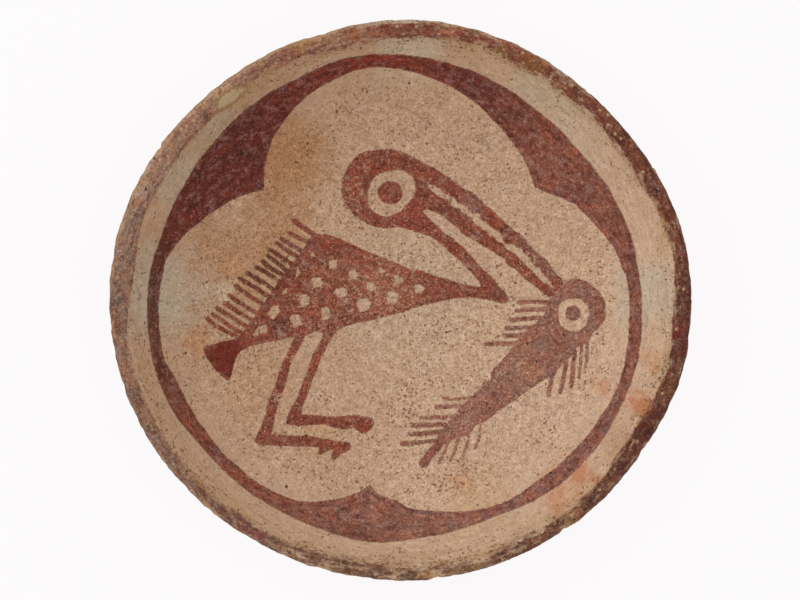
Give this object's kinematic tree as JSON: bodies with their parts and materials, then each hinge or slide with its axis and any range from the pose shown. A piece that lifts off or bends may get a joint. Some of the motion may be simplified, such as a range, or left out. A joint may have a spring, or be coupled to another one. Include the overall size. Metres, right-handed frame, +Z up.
{
  "type": "painted plate",
  "caption": "Shallow round earthenware plate with a flared rim, painted in red on buff with a long-beaked bird and a spiny fish.",
  "frame": {"origin": "middle of the flat patch under the floor that the plate rests on", "axes": "+Z up out of the plate's mouth; +X towards the side where the fish is painted, along the slightly longer diameter; +Y towards the top of the painted figures"},
  "size_m": [0.2632, 0.2536, 0.0429],
  "materials": {
    "buff_clay": "matt, smoothed by hand, fine pores",
    "worn_slip": "matt red slip, worn and smoked on the rim",
    "red_slip": "matt iron-red slip"
  },
  "bodies": {
    "root": {"plate_body": "buff_clay", "rim_band": "worn_slip", "scalloped_band": "red_slip", "bird": "red_slip", "bird_pupil": "red_slip", "fish": "red_slip", "fish_pupil": "red_slip"}
  },
  "joints": []
}
